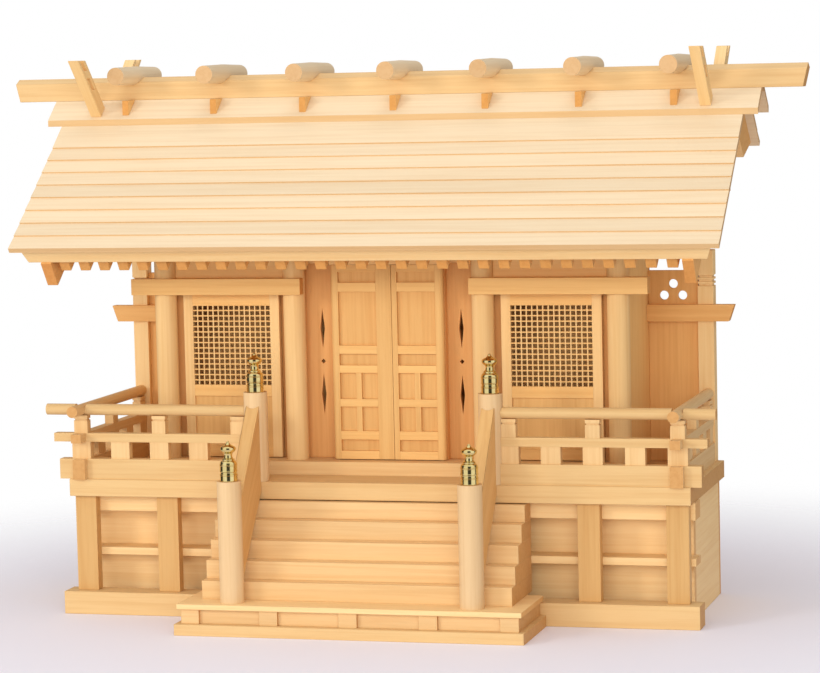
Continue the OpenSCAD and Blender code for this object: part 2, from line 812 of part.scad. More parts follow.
// Square holes that leave a grid of bars
module lattice_holes(x0, x1, z0, z1) {
  pitch_x = (x1 - x0 + lattice_bar_w) / lattice_n;
  pitch_z = (z1 - z0 + lattice_bar_w) / lattice_n;
  for (i = [0:lattice_n - 1], j = [0:lattice_n - 1])
    translate([x0 + i * pitch_x, z0 + j * pitch_z])
      square([pitch_x - lattice_bar_w, pitch_z - lattice_bar_w]);
}

module lattice_doors() {
  field_top = tie_bottom - lattice_top_h;
  field_bottom = field_top - lattice_h;
  panel_top = field_bottom - lattice_mid_h;
  x0 = inner_column_x;
  x1 = outer_column_x;
  f0 = x0 + column_r + lattice_stile;
  f1 = x1 - column_r - lattice_stile;
  placed(hinoki) difference() {
    both_sides() {
      difference() {
        block(x0, x1, lattice_front, lattice_front + lattice_t, sill_top, tie_bottom);
        block(f0, f1, lattice_front - cut, lattice_front + lattice_t + cut, field_bottom, field_top);
        block(f0, f1, lattice_front - cut, lattice_front + lattice_recess, sill_top + lattice_mid_h, panel_top);
      }
      translate([0, lattice_front + lattice_bar_setback, 0]) along_y(0, lattice_bar_d) difference() {
        translate([f0, field_bottom]) square([f1 - f0, lattice_h]);
        lattice_holes(f0, f1, field_bottom, field_top);
      }
    }
    column_cuts();
  }
}

module diamond(x, z, w, h) {
  polygon([[x - w / 2, z], [x, z - h / 2], [x + w / 2, z], [x, z + h / 2]]);
}

module door_side_boards() {
  dot_z = deck_top + slit_z;
  placed(hinoki) difference() {
    both_sides() {
      along_y(side_board_setback, side_board_back) difference() {
        translate([doorway_half - jamb_w, sill_top])
          square([inner_column_x - doorway_half + jamb_w, head_z - sill_top]);
        diamond(slit_x, dot_z, slit_w, slit_w);
        diamond(slit_x, dot_z + slit_pitch, slit_w, slit_h);
        diamond(slit_x, dot_z - slit_pitch, slit_w, slit_h);
      }
      block(doorway_half - jamb_w, doorway_half, door_setback + door_t + jamb_clear, side_board_back,
        sill_top, head_z);
    }
    column_cuts();
  }
}

module frieze_boards() {
  placed(hinoki) difference() {
    union() {
      block(-doorway_half, doorway_half, 0, side_board_back, head_z, purlin_bottom);
      block(-inner_column_x, inner_column_x, side_board_setback, side_board_back, head_z, purlin_bottom);
      both_sides()
        block(inner_column_x, outer_column_x, column_y, column_y + wall_t, tie_bottom, purlin_bottom);
    }
    column_cuts();
    pivot_bores(head_z - cut, door_z + door_h + pivot_len + pivot_clear);
  }
}

// One leaf with its hinge edge at the origin, reaching towards negative X when closed
// Its meeting stile is wider by the given amount
module door_leaf(more) {
  field = leaf_w - hinge_stile - meeting_stile + door_t / 2;
  x0 = meeting_stile - leaf_w;
  w0 = leaf_w + more;
  difference() {
    union() {
      block(-w0, 0, -door_t / 2, door_t / 2, 0, door_h);
      cylinder(d = door_t, h = door_h);
      translate([0, 0, -pivot_len]) cylinder(d = pivot_dia, h = door_h + 2 * pivot_len);
    }
    for (i = [0:len(door_rows) - 1]) {
      cols = door_rows[i][2];
      w = (field - (cols - 1) * door_mullion) / cols;
      for (c = [0:cols - 1])
        block(x0 + c * (w + door_mullion), x0 + c * (w + door_mullion) + w, -door_t / 2 - cut,
          door_recess - door_t / 2, row_z(i), row_z(i) + row_h(i));
    }
  }
}

module right_door() {
  placed(hinoki) translate([hinge_x, hinge_y, door_z]) door_leaf(-meeting_x);
}

module left_door() {
  placed(hinoki) mirror([1, 0, 0]) translate([hinge_x, hinge_y, door_z]) door_leaf(meeting_x);
}

// Purlins under the rafters: over the columns, at the ridge and over the back wall
module purlin_profiles() {
  front0 = column_y - purlin_d / 2;
  front1 = column_y + purlin_d / 2;
  rear0 = body_depth - purlin_d;
  polygon([[front0, purlin_bottom], [front1, purlin_bottom],
    [front1, layer_z(front1, rafter_bottom)], [front0, layer_z(front0, rafter_bottom)]]);
  mid0 = ridge_y - purlin_d / 2;
  mid1 = ridge_y + purlin_d / 2;
  mid_top = layer_z(ridge_y, rafter_bottom);
  polygon([[mid0, mid_top - ridge_purlin_h], [mid1, mid_top - ridge_purlin_h],
    [mid1, layer_z(mid1, rafter_bottom)], [ridge_y, mid_top], [mid0, layer_z(mid0, rafter_bottom)]]);
  polygon([[rear0, purlin_bottom], [body_depth, purlin_bottom],
    [body_depth, layer_z(body_depth, rafter_bottom)], [rear0, layer_z(rear0, rafter_bottom)]]);
}

module purlins() {
  placed(hinoki_dark) along_x(-barge_in_x, barge_in_x) purlin_profiles();
}

// Openings that the purlins and the sill need in a side wall, seen along X
module side_wall_rooms() {
  room_h = apex_z - purlin_bottom;
  translate([-column_r, purlin_bottom]) square([column_r + column_y + purlin_d / 2, room_h]);
  translate([ridge_y - purlin_d / 2, layer_z(ridge_y, rafter_bottom) - ridge_purlin_h])
    square([purlin_d, room_h]);
  translate([body_depth - purlin_d, purlin_bottom]) square([purlin_d, room_h]);
  translate([-column_r, sill_z - cut]) square([column_r + sill_d - sill_proud, sill_h + cut]);
}

module side_walls() {
  front = column_y + column_r / 2;
  placed(hinoki) difference() {
    both_sides() along_x(side_wall_x - wall_t, side_wall_x) difference() {
      polygon([[front, deck_top], [back_wall_front, deck_top],
        [back_wall_front, layer_z(back_wall_front, rafter_bottom)],
        [ridge_y, layer_z(ridge_y, rafter_bottom)], [front, layer_z(front, rafter_bottom)]]);
      side_wall_rooms();
    }
    column_cuts(sill_z, purlin_bottom + cut);
  }
}

module back_wall() {
  placed(hinoki) block(-side_wall_x, side_wall_x, back_wall_front, body_depth, deck_top, purlin_bottom);
}

module screen_panels() {
  y0 = body_depth - screen_post_w / 2 - screen_t / 2;
  mid_x = (side_wall_x + screen_post_x - screen_post_w) / 2;
  placed(hinoki_dark) both_sides() difference() {
    block(side_wall_x, screen_post_x - screen_post_w, y0, y0 + screen_t, deck_top, deck_top + screen_h);
    for (p = [[-screen_hole_pitch / 2, 0], [screen_hole_pitch / 2, 0], [0, screen_hole_rise]])
      translate([mid_x + p[0], y0 - cut, deck_top + screen_hole_z + p[1]])
        rotate([-90, 0, 0]) cylinder(d = screen_hole_dia, h = screen_t + 2 * cut);
  }
}

module screen_beam_shape() {
  z0 = deck_top + screen_beam_z;
  z1 = z0 + screen_beam_h;
  polygon([[side_wall_x, z0], [screen_beam_x - screen_beam_slant, z0], [screen_beam_x, z1],
    [side_wall_x, z1]]);
}

module screen_beams() {
  y1 = body_depth - screen_post_w / 2 - screen_t / 2;
  placed(hinoki) both_sides() along_y(y1 - screen_beam_d, y1) screen_beam_shape();
}

// Ring cut round a screen post
module post_groove(z) {
  x0 = screen_post_x - screen_post_w;
  d = post_groove_d;
  difference() {
    block(x0 - cut, screen_post_x + cut, screen_post_front - cut, body_depth + cut, z, z + post_groove_h);
    block(x0 + d, screen_post_x - d, screen_post_front + d, body_depth - d, z - cut, z + 2 * post_groove_h);
  }
}

module screen_posts() {
  y1 = body_depth - screen_post_w / 2 - screen_t / 2;
  placed(hinoki) both_sides() difference() {
    block(screen_post_x - screen_post_w, screen_post_x, screen_post_front, body_depth,
      deck_top, deck_top + screen_post_h);
    along_y(screen_post_front - cut, y1) screen_beam_shape();
    for (i = [0:2]) post_groove(deck_top + post_groove_z + i * post_groove_pitch);
  }
}

module rafters() {
  placed(hinoki) for (i = [-rafter_side_n:rafter_side_n])
    along_x(i * rafter_pitch - rafter_w / 2, i * rafter_pitch + rafter_w / 2) {
      polygon(band(front_len - rafter_setback, under_bottom, rafter_bottom));
      polygon(rear(band(rear_len - rafter_setback, under_bottom, rafter_bottom)));
    }
}

module bargeboards() {
  rear_cut = ridge_y + barge_rear;
  placed(hinoki) both_sides() along_x(barge_in_x, barge_x) intersection() {
    union() {
      polygon(band(front_len - barge_setback, under_bottom, barge_bottom));
      polygon(rear(band(front_len, under_bottom, barge_bottom)));
    }
    translate([-eave_reach, 0]) square([rear_cut + eave_reach, apex_z]);
  }
}

module under_roof_half(s1) {
  half = under_w / 2;
  along_y(0, s1) polygon([[-half, roof_t], [half, roof_t],
    [half - under_slant, under_bottom], [under_slant - half, under_bottom]]);
}

module under_roof() {
  placed(hinoki) {
    intersection() {
      on_front_slope() under_roof_half(front_len - under_setback);
      block(-roof_w, roof_w, -2 * eave_reach, ridge_y - ridge_gap / 2, 0, apex_z);
    }
    intersection() {
      on_rear_slope() under_roof_half(rear_len - under_setback);
      block(-roof_w, roof_w, ridge_y + ridge_gap / 2, ridge_y + 2 * eave_reach, 0, apex_z);
    }
  }
}

module roof_front() {
  placed(hinoki_pale) along_x(-roof_w / 2, roof_w / 2) polygon(lapped(front_len, front_rows));
}

module roof_rear() {
  placed(hinoki_pale) along_x(-roof_w / 2, roof_w / 2) polygon(rear(lapped(rear_len, rear_rows)));
}

// Two boards that meet under the ridge beam
module ridge_cover() {
  y0 = ridge_y - cover_half;
  y1 = ridge_y - ridge_gap / 2;
  board = [
    [y0, layer_z(y0, 0)], [y0, layer_z(y0, 0) + cover_t], [ridge_y - ridge_d / 2, cover_top],
    [y1, cover_top], [y1, trim_z], [ridge_y - trim_y, trim_z]
  ];
  placed(hinoki_pale) along_x(-cover_w / 2, cover_w / 2) {
    polygon(board);
    polygon(rear(board));
  }
}

module ridge_section() {
  y0 = ridge_y - ridge_d / 2;
  y1 = ridge_y + ridge_d / 2;
  polygon([[y0, cover_top], [y1, cover_top], [y1, ridge_top], [ridge_y, ridge_top + ridge_rise],
    [y0, ridge_top]]);
}

module ridge_beam() {
  top = ridge_top + ridge_rise;
  half = ridge_len / 2;
  end_slope = ridge_slant / ridge_h;
  placed(hinoki) intersection() {
    along_x(-half, half) ridge_section();
    along_y(ridge_y - ridge_d, ridge_y + ridge_d) polygon([
      [ridge_slant - half, cover_top], [half - ridge_slant, cover_top],
      [half + ridge_rise * end_slope, top], [-half - ridge_rise * end_slope, top]
    ]);
  }
}

module ridge_wedges() {
  y0 = ridge_y - ridge_d / 2 - wedge_d;
  profile = [[y0, layer_z(y0, 0) + cover_t], [ridge_y - ridge_d / 2, cover_top], [y0, cover_top]];
  placed(hinoki_dark) for (i = [-log_side_n:log_side_n])
    along_x(i * log_pitch - wedge_w / 2, i * log_pitch + wedge_w / 2) {
      polygon(profile);
      polygon(rear(profile));
    }
}

// Barrel shaped logs, notched over the gabled top of the ridge beam
module ridge_logs() {
  r0 = log_end_dia / 2;
  r1 = log_dia / 2;
  placed(hinoki_pale) for (i = [-log_side_n:log_side_n]) difference() {
    translate([i * log_pitch, ridge_y, cover_top + log_z]) rotate([90, 0, 0]) rotate_extrude()
      polygon([[0, -log_len / 2], [r0, -log_len / 2], [r1, 0], [r0, log_len / 2], [0, log_len / 2]]);
    along_x(i * log_pitch - log_dia, i * log_pitch + log_dia) ridge_section();
  }
}

// Horn that leans away from the ridge, with a closed slot and a half slot open at the top
module horn_shape() {
  y0 = ridge_y - horn_foot;
  foot = horn_foot_z();
  function lean(z) = y0 - (z - foot) * horn_rise;
  slot0 = (horn_w - horn_slot_w) / 2;
  slot1 = (horn_w + horn_slot_w) / 2;
  function slot(z0, z1) = [
    [lean(z0) + slot0, z0], [lean(z0) + slot1, z0], [lean(z1) + slot1, z1], [lean(z1) + slot0, z1]
  ];
  z_back = foot + horn_w * tan(roof_pitch) / (1 + tan(roof_pitch) * horn_rise);
  slot_top = horn_top_z - horn_notch_h - horn_web_h;
  difference() {
    polygon([[lean(foot), foot], [lean(z_back) + horn_w, z_back],
      [lean(horn_top_z) + horn_w, horn_top_z], [lean(horn_top_z), horn_top_z]]);
    polygon(slot(horn_top_z - horn_notch_h, horn_top_z + cut));
    polygon(slot(slot_top - horn_slot_h, slot_top));
  }
}

module ridge_horns() {
  placed(hinoki) both_sides() {
    along_x(horn_x, horn_x + horn_t) horn_shape();
    translate([0, 2 * ridge_y, 0]) mirror([0, 1, 0]) along_x(horn_x, horn_x + horn_t) horn_shape();
  }
}

base_plinth();
base_front_panel();
base_sides();
base_back();
base_rails();
base_posts();
deck();
platform_plinth();
platform_body();
platform_top();
step(1);  // step_1
step(2);  // step_2
step(3);  // step_3
step(4);  // step_4
step(5);  // step_5
stair_boards();
newels();
finials();
front_rails();
side_rails();
rail_struts();
body_floor();
sill();
columns();
tie_beams();
lattice_doors();
door_side_boards();
frieze_boards();
left_door();
right_door();
side_walls();
back_wall();
purlins();
screen_panels();
screen_posts();
screen_beams();
rafters();
bargeboards();
under_roof();
roof_front();
roof_rear();
ridge_cover();
ridge_beam();
ridge_wedges();
ridge_logs();
ridge_horns();
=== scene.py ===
"""Looks of a plain cypress household shrine with brass finials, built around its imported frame."""

import math

import bmesh
import bpy
from mathutils import Matrix, Vector


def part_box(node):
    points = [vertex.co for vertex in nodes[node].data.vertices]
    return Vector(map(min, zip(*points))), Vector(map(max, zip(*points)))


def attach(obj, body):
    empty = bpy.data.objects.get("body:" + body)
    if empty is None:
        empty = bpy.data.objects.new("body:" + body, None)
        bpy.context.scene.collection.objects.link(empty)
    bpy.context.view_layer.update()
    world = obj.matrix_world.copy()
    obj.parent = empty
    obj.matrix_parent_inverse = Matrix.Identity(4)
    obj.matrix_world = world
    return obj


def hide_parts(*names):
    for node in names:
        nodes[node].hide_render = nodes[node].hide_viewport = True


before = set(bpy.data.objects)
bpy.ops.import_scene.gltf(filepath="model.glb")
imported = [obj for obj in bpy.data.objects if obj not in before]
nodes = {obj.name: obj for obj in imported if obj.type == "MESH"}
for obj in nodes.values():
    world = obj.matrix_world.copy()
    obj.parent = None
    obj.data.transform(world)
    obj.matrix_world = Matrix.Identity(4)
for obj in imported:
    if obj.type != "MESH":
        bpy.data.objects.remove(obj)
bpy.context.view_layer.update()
MM = 0.001

# Camera of the photograph, in pixels, metres and degrees
IMAGE_W = 820
FOCAL_PX = 3015.98
SENSOR_MM = 36
CAMERA_AT = Vector((0.7039, -2.5078, 0.4761))
YAW = math.radians(15.23)
PITCH = math.radians(5.21)
ROLL = math.radians(-1.34)

# Lamps as name, place, size, watts and colour
LAMP_TARGET = Vector((0, 0, 0.2))
LAMPS = (
    ("key", (-2.1, -2.5, 1.15), 0.8, 29, (1.0, 0.98, 0.95)),
    ("right", (1.3, -3.2, 1.1), 1.3, 26, (1.0, 0.98, 0.95)),
    ("front", (-0.2, -3.4, 0.5), 1.5, 24, (1.0, 0.98, 0.95)),
    ("top", (0.1, -0.7, 2.8), 1.6, 13, (0.97, 0.98, 1.0)),
)

# Surround: fill for the wood from below and above, and the heights between which it changes
WHITE = (1, 1, 1, 1)
FILL_BELOW = (1.0, 0.94, 0.83, 1)
FILL_ABOVE = (1.0, 0.99, 0.98, 1)
FILL_RISE = (-0.2, 0.7)
FILL_STRENGTH = 0.61

# Surround mirrored in the brass: two bright panels, as angles off the front, and a bright ceiling
MIRROR_DARK = (0.05, 0.05, 0.05, 1)
PANEL_INNER = (0.28, 0.50)
PANEL_OUTER = (1.2, 1.6)
CEILING_RISE = (0.4, 0.8)

# Floor paper, and the distances from the middle between which it fades into the surround
FLOOR_SIZE = 8
FLOOR_COLOUR = (0.88, 0.86, 0.95, 1)
FLOOR_ROUGHNESS = 0.9
FLOOR_FADE = (0.34, 0.85)

# Eased edges in metres, and the angles that count as smooth and as edges
EDGE_ROUND = 0.00055
ROOF_EDGE = 0.00012
EDGE_SEGMENTS = 2
MERGE_DISTANCE = 0.00001
SMOOTH_ANGLE = math.radians(28)
BEVEL_ANGLE = math.radians(40)

# Ridge line from the frame, and slopes of the roof, the horns and the stairs
ridge_low, ridge_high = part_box("ridge_beam")
RIDGE_Y = (ridge_low.y + ridge_high.y) / 2
ROOF_SLOPE = math.radians(37)
HORN_SLOPE = math.radians(46.4)
stair_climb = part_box("step_5")[0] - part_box("step_1")[0]
STAIR_SLOPE = math.atan2(stair_climb.z, stair_climb.y)

# Grain direction and tone of the wood in each node; several tones hold painted light and painted shade,
# noted in TONES
WOODS = (
    # Calm: painted shade, a little darker than usual, on the front-most low parts that the lamps light most
    ("x", "calm", "base_plinth deck platform_plinth front_rails"),
    ("x", "usual", "platform_body step_1 step_2 step_3 step_4 sill ridge_beam"),
    # Bright: painted light, paler than usual, here and on the base sides, screen posts and ridge horns
    ("x", "bright", "base_front_panel base_rails platform_top under_roof"),
    ("x", "amber", "tie_beams"),
    # Frieze boards: painted light, lighter than usual, on boards that lie in the eave's shade
    ("x", "painted_light", "frieze_boards"),
    ("x", "warm", "back_wall base_back purlins screen_beams"),
    ("roof_x", "pale", "roof_front roof_rear ridge_cover"),
    ("y", "usual", "side_rails body_floor"),
    ("y", "bright", "base_sides"),
    ("y", "amber", "ridge_wedges"),
    ("y", "pale", "ridge_logs"),
    ("z", "usual", "rail_struts"),
    ("z", "soft", "newels"),
    ("z", "mellow", "columns"),
    ("z", "bright", "screen_posts"),
    ("z", "amber", "side_walls"),
    ("z", "warm", "screen_panels"),
    ("z", "fawn", "base_posts"),
    # Door side boards: painted shade, darker and more orange than usual, beside the doors
    ("z", "painted_shade", "door_side_boards"),
    ("stair", "tan", "stair_boards"),
    ("roof", "amber", "rafters"),
    ("roof", "warm", "bargeboards"),
    ("horn", "bright", "ridge_horns"),
)
# Turn that brings each grain direction to Z, and whether both roof sides share it
TURNS = {
    "x": ((0, math.pi / 2, 0), False),
    "roof_x": ((0, math.pi / 2, 0), True),
    "y": ((math.pi / 2, 0, 0), False),
    "z": ((0, 0, 0), False),
    "stair": ((math.pi / 2 - STAIR_SLOPE, 0, 0), False),
    "roof": ((math.pi / 2 + ROOF_SLOPE, 0, 0), True),
    "horn": ((HORN_SLOPE, 0, 0), True),
}
# Light and dark streaks of each tone of the wood; several tones also hold painted light and painted shade,
# noted at each
TONES = {
    "usual": ((0.82, 0.565, 0.28), (0.72, 0.445, 0.195)),
    # Painted shade: the usual tone a little darker, for the front-most low parts that the lamps light most
    "calm": ((0.76, 0.52, 0.245), (0.67, 0.41, 0.17)),
    # Painted light: paler than usual, for the recessed base panel, the platform top and other parts the
    # lamps leave darker
    "bright": ((0.92, 0.655, 0.33), (0.83, 0.535, 0.235)),
    # Amber and warm: more orange than usual, partly the wood's own tone and partly painted shade for body
    # parts that lie in shade
    "amber": ((0.90, 0.56, 0.22), (0.79, 0.44, 0.15)),
    "warm": ((0.87, 0.50, 0.19), (0.75, 0.385, 0.125)),
    # Painted light for the frieze boards in the eave's shade: lighter and more orange than the usual tone
    "painted_light": ((0.99, 0.66, 0.295), (0.94, 0.56, 0.225)),
    "soft": ((0.79, 0.56, 0.31), (0.705, 0.46, 0.23)),
    "mellow": ((0.89, 0.61, 0.29), (0.79, 0.49, 0.20)),
    # Gold: more orange than usual, partly the wood's own tone and partly painted shade for the door and
    # lattice parts in shade
    "gold": ((0.84, 0.52, 0.205), (0.73, 0.405, 0.14)),
    "fawn": ((0.69, 0.425, 0.17), (0.60, 0.325, 0.11)),
    "tan": ((0.76, 0.47, 0.19), (0.66, 0.36, 0.125)),
    # Door panels: partly their own darker tone, partly painted shade in their recesses
    "panel": ((0.80, 0.475, 0.18), (0.70, 0.365, 0.12)),
    # Painted shade: darker and more orange than usual, for the door side boards and lattice jambs in
    # recesses
    "painted_shade": ((0.80, 0.43, 0.16), (0.70, 0.335, 0.108)),
    "pale": ((0.84, 0.68, 0.47), (0.77, 0.58, 0.365)),
}
# Darker tone of end grain, painted shade on the lower lips of roof boards, and how far a face has to turn to
# show them
END_GRAIN = (0.82, 0.66, 0.50, 1)
END_RANGE = (0.62, 0.80)
ROOF_LIP_PAINTED_SHADE = (0.90, 0.74, 0.54, 1)
LIP_SHADE_RANGE = (0.35, 0.8)

# Grain as rings, fibres and clouds: counts per metre across and along, detail and distortion;
# the range of the noise that is kept; the share of the streaks
GRAIN_LAYERS = (
    ((260, 7, 2, 0.4), (0.42, 0.66), 0.50),
    ((1700, 60, 3, 0.0), (0.30, 0.72), 0.22),
    ((34, 9, 2, 0.0), (0.3, 0.7), 0.20),
)
NOISE_ROUGHNESS = 0.55
BOARD_SHIFT = (1.7, 2.3, 3.1)
BOARD_SPREAD = 0.10
WOOD_ROUGHNESS = (0.50, 0.64)
WOOD_SPECULAR = 0.32
RING_HEIGHT = 0.6
WOOD_BUMP = (0.10, 0.0004)

# Brass: clean and tarnished colour, noise of the lathe lines and of the tarnish, roughness and bump
BRASS_CLEAN = (0.80, 0.66, 0.31, 1)
BRASS_TARNISHED = (0.70, 0.54, 0.21, 1)
LATHE_LINES = (40, 2600, 2)
TARNISH = (160, 160, 3)
TARNISH_RANGE = (0.35, 0.75)
BRASS_ROUGHNESS = (0.08, 0.14)
BRASS_BUMP = (0.006, 0.0002)

# Rows of roof boards, counted up from the front eave
ROW_RUN = 0.0172
ROOF_T = 0.005
roof_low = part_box("roof_front")[0]
EAVE_Z = roof_low.z + ROOF_T * math.cos(ROOF_SLOPE)
EAVE_S = (RIDGE_Y - roof_low.y) * math.cos(ROOF_SLOPE) - EAVE_Z * math.sin(ROOF_SLOPE)

# Places of the woods in the lists that the door and lattice leaves take
UPRIGHT, ACROSS, PANEL, JAMB = range(4)

# Door leaves in millimetres, rows from the foot: rail below, panel height, panels across
LEAF_ROWS = ((7.2, 10, 1), (7.5, 21.4, 2), (6.7, 22.9, 2), (6.6, 10.1, 1), (7.3, 46.9, 1), (8, 9.2, 1))
LEAF_FIELD = (9.4, 43.6)
LEAF_MULLION = 5
LEAF_RECESS = 3
PIN_R = 1.4
PIN_LEN = 4
PIN_SIDES = 24
HINGE_EDGE_STEPS = 16
# Extra width of the left leaf where the leaves meet, extra height of both, and eased edges in metres
MEETING_EDGE = 0.45
HEAD_EDGE = 0.5
LEAF_EDGE = 0.00015

# Lattice leaves of the side bays in millimetres from the middle, and levels above their foot
LATTICE_FIELD = (108.6, 180)
LATTICE_STILES = (100.1, 188.5)
LATTICE_JAMBS = (84.9, 203.7)
LATTICE_LEVELS = {"low": 10, "panel": 54.7, "field": 64.7, "top": 134.7}
# Openings each way, bars, sunk panel, jambs and foot, with depths behind the face of the leaf
LATTICE_N = 15
LATTICE_BAR = 1.2
BAR_DEPTH = (0.4, 1.1)
WEAVE = 0.08
LATTICE_RECESS = 1.5
JAMB_DEPTHS = (7, 8.5)
FOOT_GAP = 1
FOOT_DEPTH = 4
LATTICE_EDGE = 0.00016

# Turned finials in millimetres, as radius and height from the foot up
FINIAL_BANDS = (
    (0, 0), (7.5, 0), (7.5, 0.5), (7.3, 0.7), (7.3, 4.7), (7.55, 5.0), (7.55, 5.7), (7.1, 6.1), (6.95, 7.0),
    (7.1, 7.9), (7.55, 8.3), (7.55, 8.9), (7.3, 9.2), (7.3, 13.0), (7.6, 13.3), (7.6, 14.0), (7.2, 14.3),
)
FINIAL_SHOULDER = ((7.2, 14.7), (7.05, 15.4), (6.7, 16.2), (6.1, 16.9), (5.2, 17.4))
FINIAL_COLLAR = ((5.2, 17.7), (5.4, 18.1), (5.2, 18.6))
FINIAL_NECK = ((4.6, 19.0), (3.9, 19.5), (3.55, 20.4), (3.45, 21.5), (3.55, 22.7), (4.0, 23.6), (4.9, 24.3))
FINIAL_BULB = ((5.9, 25.2), (6.5, 26.3), (6.7, 27.3), (6.4, 28.3), (5.5, 29.2), (4.1, 29.9), (2.6, 30.7))
FINIAL_TIP = ((1.7, 31.6), (1.3, 32.4), (1.35, 33.0), (0.9, 33.5), (0, 33.7))
FINIAL_PROFILE = FINIAL_BANDS + FINIAL_SHOULDER + FINIAL_COLLAR + FINIAL_NECK + FINIAL_BULB + FINIAL_TIP
FINIAL_SIDES = 48
FINIAL_EDGE = 0.00006
NEWEL_R = 10.3

# Open joint between the deck and the top step, in millimetres
STEP_JOINT = 0.9

# Sockets of a colour Mix node: factor, both colours, and the result
MIX_INPUTS = (0, 6, 7)
MIX_RESULT = 2


def connect(tree, value, socket):
    """Links a socket to an input, or sets the input to a plain value."""
    if isinstance(value, bpy.types.NodeSocket):
        tree.links.new(value, socket)
    else:
        socket.default_value = value


def add(tree, kind, **values):
    """A node with its plain properties and its inputs set by name."""
    made = tree.nodes.new(kind)
    for name, value in values.items():
        if name in made.inputs:
            made.inputs[name].default_value = value
        else:
            setattr(made, name, value)
    return made


def math_node(tree, operation, first, second=0.0):
    made = add(tree, "ShaderNodeMath", operation=operation)
    connect(tree, first, made.inputs[0])
    connect(tree, second, made.inputs[1])
    return made.outputs[0]


def mix_colour(tree, factor, first, second, blend="MIX"):
    made = add(tree, "ShaderNodeMix", data_type="RGBA", blend_type=blend)
    for slot, value in zip(MIX_INPUTS, (factor, first, second)):
        connect(tree, value, made.inputs[slot])
    return made.outputs[MIX_RESULT]


def shaded(tree, share, colour, shade):
    """A colour multiplied by a shade, by the given share."""
    return mix_colour(tree, share, colour, mix_colour(tree, 1.0, colour, shade, "MULTIPLY"))


def mix_shader(tree, factor, first, second):
    made = add(tree, "ShaderNodeMixShader")
    for slot, value in enumerate((factor, first, second)):
        tree.links.new(value, made.inputs[slot])
    return made.outputs[0]


def background(tree, colour, strength=1.0):
    made = add(tree, "ShaderNodeBackground", Strength=strength)
    connect(tree, colour, made.inputs["Color"])
    return made.outputs[0]


def split_xyz(tree, vector):
    made = add(tree, "ShaderNodeSeparateXYZ")
    tree.links.new(vector, made.inputs[0])
    return tuple(made.outputs)


def join_xyz(tree, x, y, z):
    made = add(tree, "ShaderNodeCombineXYZ")
    for slot, value in enumerate((x, y, z)):
        tree.links.new(value, made.inputs[slot])
    return made.outputs[0]


def ramp(tree, value, ends, results=(0.0, 1.0), kind="LINEAR"):
    """A value brought from one range to another, and held at both ends."""
    made = add(tree, "ShaderNodeMapRange", interpolation_type=kind)
    for name, number in zip(("From Min", "From Max", "To Min", "To Max"), (*ends, *results)):
        made.inputs[name].default_value = number
    tree.links.new(value, made.inputs["Value"])
    return made.outputs[0]


def smooth(tree, value, ends, results=(0.0, 1.0)):
    return ramp(tree, value, ends, results, "SMOOTHSTEP")


def turned(tree, vector, turn):
    """A vector with the grain direction brought to Z."""
    made = add(tree, "ShaderNodeMapping", Rotation=turn)
    tree.links.new(vector, made.inputs["Vector"])
    return made.outputs[0]


def fold_ridge(tree, place, facing):
    """Place and normal with the rear side of the roof laid over the front side."""
    x, y, z = split_xyz(tree, place)
    behind = math_node(tree, "SUBTRACT", y, RIDGE_Y)
    side = math_node(tree, "SIGN", behind)
    normal_x, normal_y, normal_z = split_xyz(tree, facing)
    folded_place = join_xyz(tree, x, math_node(tree, "MULTIPLY", behind, side), z)
    folded_facing = join_xyz(tree, normal_x, math_node(tree, "MULTIPLY", normal_y, side), normal_z)
    return folded_place, folded_facing


def shifted(tree, vector, amount):
    """A vector moved by an amount that differs from board to board."""
    shift = add(tree, "ShaderNodeVectorMath", operation="SCALE")
    shift.inputs[0].default_value = BOARD_SHIFT
    tree.links.new(amount, shift.inputs["Scale"])
    moved = add(tree, "ShaderNodeVectorMath", operation="ADD")
    tree.links.new(vector, moved.inputs[0])
    tree.links.new(shift.outputs[0], moved.inputs[1])
    return moved.outputs[0]


def roof_row(tree, place):
    """A random number for each row of boards on a roof slope."""
    _, y, z = split_xyz(tree, place)
    away = math_node(tree, "ABSOLUTE", math_node(tree, "SUBTRACT", y, RIDGE_Y))
    across = math_node(tree, "MULTIPLY", away, math.cos(ROOF_SLOPE))
    raised = math_node(tree, "MULTIPLY", z, math.sin(ROOF_SLOPE))
    down = math_node(tree, "SUBTRACT", across, raised)
    rows = math_node(tree, "DIVIDE", math_node(tree, "SUBTRACT", EAVE_S, down), ROW_RUN)
    noise = add(tree, "ShaderNodeTexWhiteNoise", noise_dimensions="1D")
    tree.links.new(math_node(tree, "FLOOR", rows), noise.inputs["W"])
    return noise.outputs["Value"]


def painted_lip_shade_mask(tree, facing):
    """How far a roof face looks straight down the slope, as the lower edges of the boards do; the mask for
    their painted shade.
    """
    _, y, z = split_xyz(tree, facing)
    outward = math_node(tree, "MULTIPLY", y, math.cos(ROOF_SLOPE))
    upward = math_node(tree, "MULTIPLY", z, math.sin(ROOF_SLOPE))
    return ramp(tree, math_node(tree, "SUBTRACT", outward, upward), LIP_SHADE_RANGE)


def stretched_noise(tree, coordinates, across, along, detail, distortion=0.0):
    """Noise drawn out along the grain: across and along are counts per metre."""
    scaled = add(tree, "ShaderNodeMapping", Scale=(across, across, along))
    tree.links.new(coordinates, scaled.inputs["Vector"])
    noise = add(tree, "ShaderNodeTexNoise", Scale=1.0, Detail=detail, Roughness=NOISE_ROUGHNESS)
    noise.inputs["Distortion"].default_value = distortion
    tree.links.new(scaled.outputs[0], noise.inputs["Vector"])
    return noise.outputs["Fac"]


def bumped(tree, shader, height, strength, distance):
    """Raises the surface of a shader by a height, with the bump's strength and distance."""
    bump = add(tree, "ShaderNodeBump", Strength=strength, Distance=distance)
    tree.links.new(height, bump.inputs["Height"])
    tree.links.new(bump.outputs["Normal"], shader.inputs["Normal"])


def new_material(name):
    """A material with its node tree and its main shader."""
    made = bpy.data.materials.new(name)
    made.use_nodes = True
    return made, made.node_tree, made.node_tree.nodes["Principled BSDF"]


